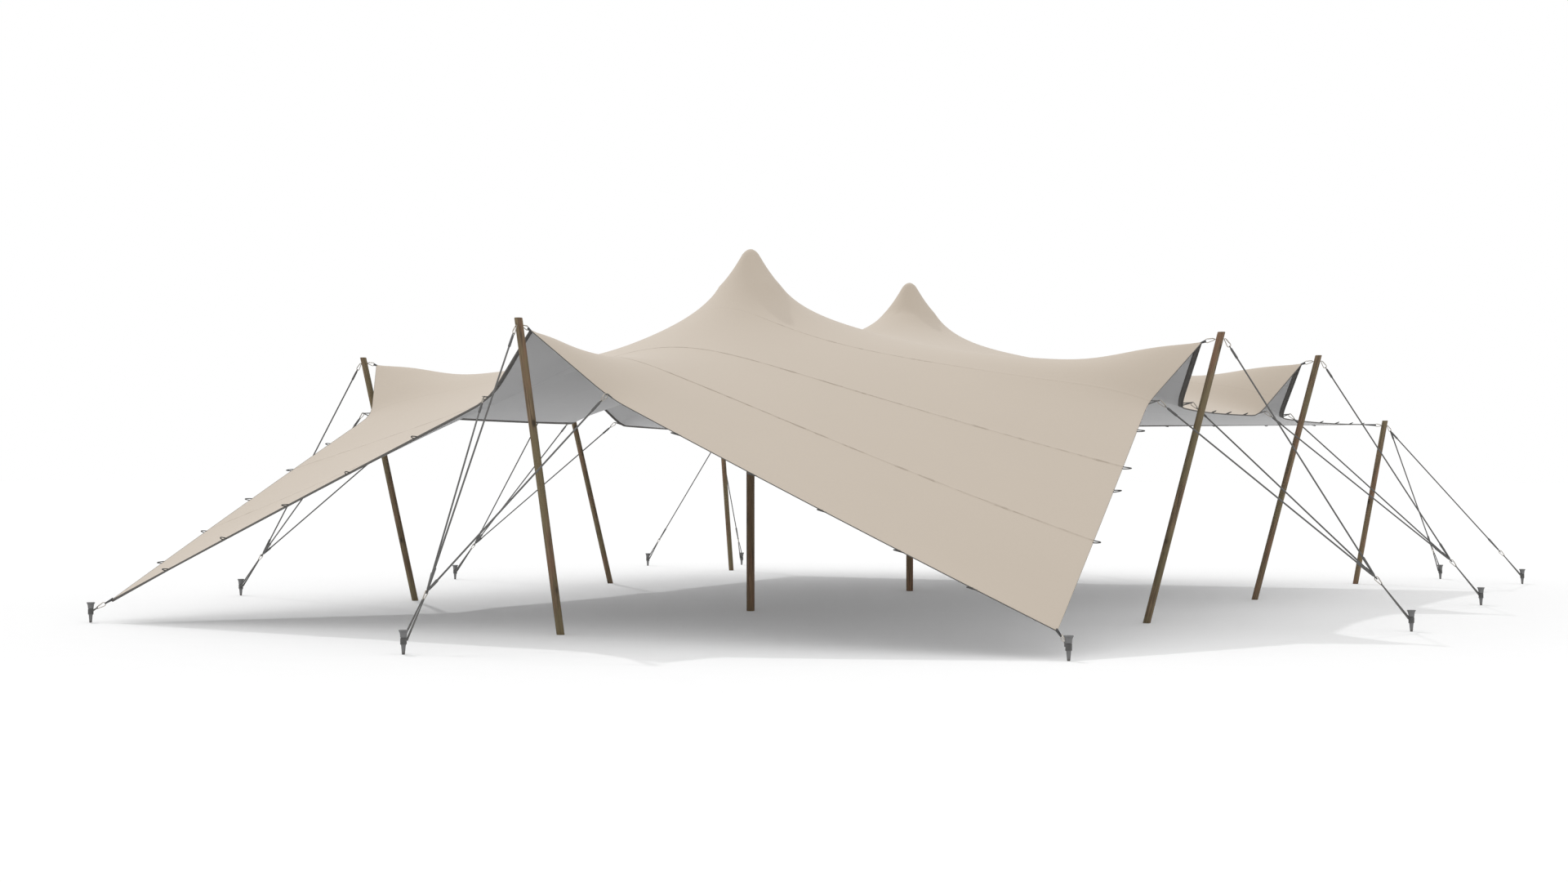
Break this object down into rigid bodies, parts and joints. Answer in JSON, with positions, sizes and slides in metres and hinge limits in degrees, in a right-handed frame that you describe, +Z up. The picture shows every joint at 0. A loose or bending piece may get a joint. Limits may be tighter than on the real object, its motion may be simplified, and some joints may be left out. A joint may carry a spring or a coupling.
{
  "type": "stretch tent",
  "caption": "Freeform stretch tent: a beige membrane over timber king and side poles, low at one end, guyed to steel ground stakes.",
  "frame": {"origin": "ground level under the middle of the object's bounding box", "axes": "+Z up, X across the ten metre width, +Y towards the end whose corners stand on poles; the end at -Y is pulled down to the ground"},
  "size_m": [14.202, 17.388, 3.977],
  "materials": {
    "membrane": "matt coated stretch fabric",
    "king_wood": "weathered oiled pole",
    "side_wood": "weathered oiled pole",
    "pole_head": "padded black head",
    "stake_steel": "dull steel",
    "guy_rope": "braided rope with sleeves"
  },
  "bodies": {
    "root": {"canopy": "membrane", "king_pole_front": "king_wood", "king_pole_back": "king_wood", "king_pole_head_front": "pole_head", "king_pole_head_back": "pole_head", "pole_front": "side_wood", "pole_back": "side_wood", "pole_left_front": "side_wood", "pole_left_back": "side_wood", "pole_right_front": "side_wood", "pole_right_back": "side_wood", "pole_corner_left": "side_wood", "pole_corner_right": "side_wood", "stake_front": "stake_steel", "stake_back": "stake_steel", "stake_left_front": "stake_steel", "stake_left_back": "stake_steel", "stake_right_front": "stake_steel", "stake_right_back": "stake_steel", "stake_corner_left_inner": "stake_steel", "stake_corner_left_outer": "stake_steel", "stake_corner_right_inner": "stake_steel", "stake_corner_right_outer": "stake_steel", "stake_low_left": "stake_steel", "stake_low_right": "stake_steel", "guy_front": "guy_rope", "guy_back": "guy_rope", "guy_left_front": "guy_rope", "guy_left_back": "guy_rope", "guy_right_front": "guy_rope", "guy_right_back": "guy_rope", "guy_corner_left_inner": "guy_rope", "guy_corner_left_outer": "guy_rope", "guy_corner_right_inner": "guy_rope", "guy_corner_right_outer": "guy_rope", "strap_low_left": "guy_rope", "strap_low_right": "guy_rope", "tie_front": "guy_rope", "tie_back": "guy_rope", "tie_left_front": "guy_rope", "tie_left_back": "guy_rope", "tie_right_front": "guy_rope", "tie_right_back": "guy_rope", "tie_corner_left": "guy_rope", "tie_corner_right": "guy_rope"}
  },
  "joints": []
}
